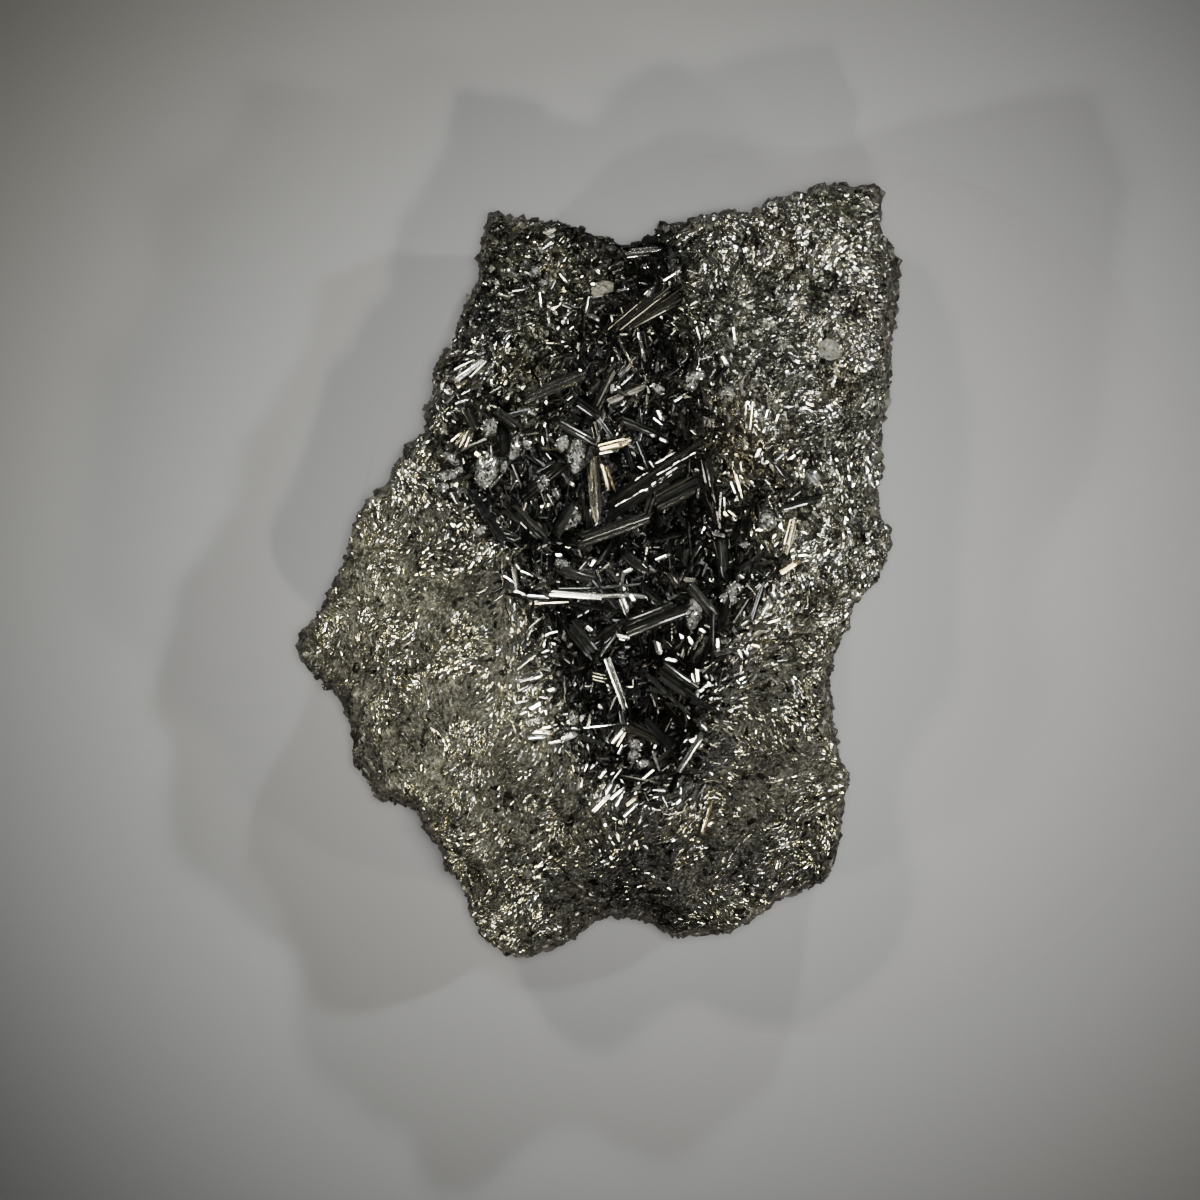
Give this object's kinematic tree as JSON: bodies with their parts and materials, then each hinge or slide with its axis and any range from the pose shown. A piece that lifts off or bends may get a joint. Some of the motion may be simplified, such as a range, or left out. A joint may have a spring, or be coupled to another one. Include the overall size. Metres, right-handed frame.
{
  "type": "manganite specimen",
  "caption": "Loose manganite mineral specimen: a slab of glittering granular grey-brown ore with a deep open hollow lined with dark striated bladed crystals, lying on its broken back.",
  "frame": {"origin": "middle of the underside of the slab, at the height of the flat broken back it rests on", "axes": "+Z out of the crystal face, up as it lies; +Y along the slab towards the notch at its top; +X to the right of the crystal face"},
  "size_m": [0.06, 0.0774, 0.0273],
  "materials": {
    "granular_manganite": "fine granular grey-olive ore with a submetallic glitter",
    "manganite_crystal": "steel-black submetallic striated crystal faces with bright and golden-brown glints",
    "pale_mineral": "pale grey-beige translucent grain"
  },
  "bodies": {
    "root": {"matrix": "granular_manganite", "vug_crystals": "manganite_crystal", "pale_grain_right": "pale_mineral", "pale_grain_top": "pale_mineral"}
  },
  "joints": []
}
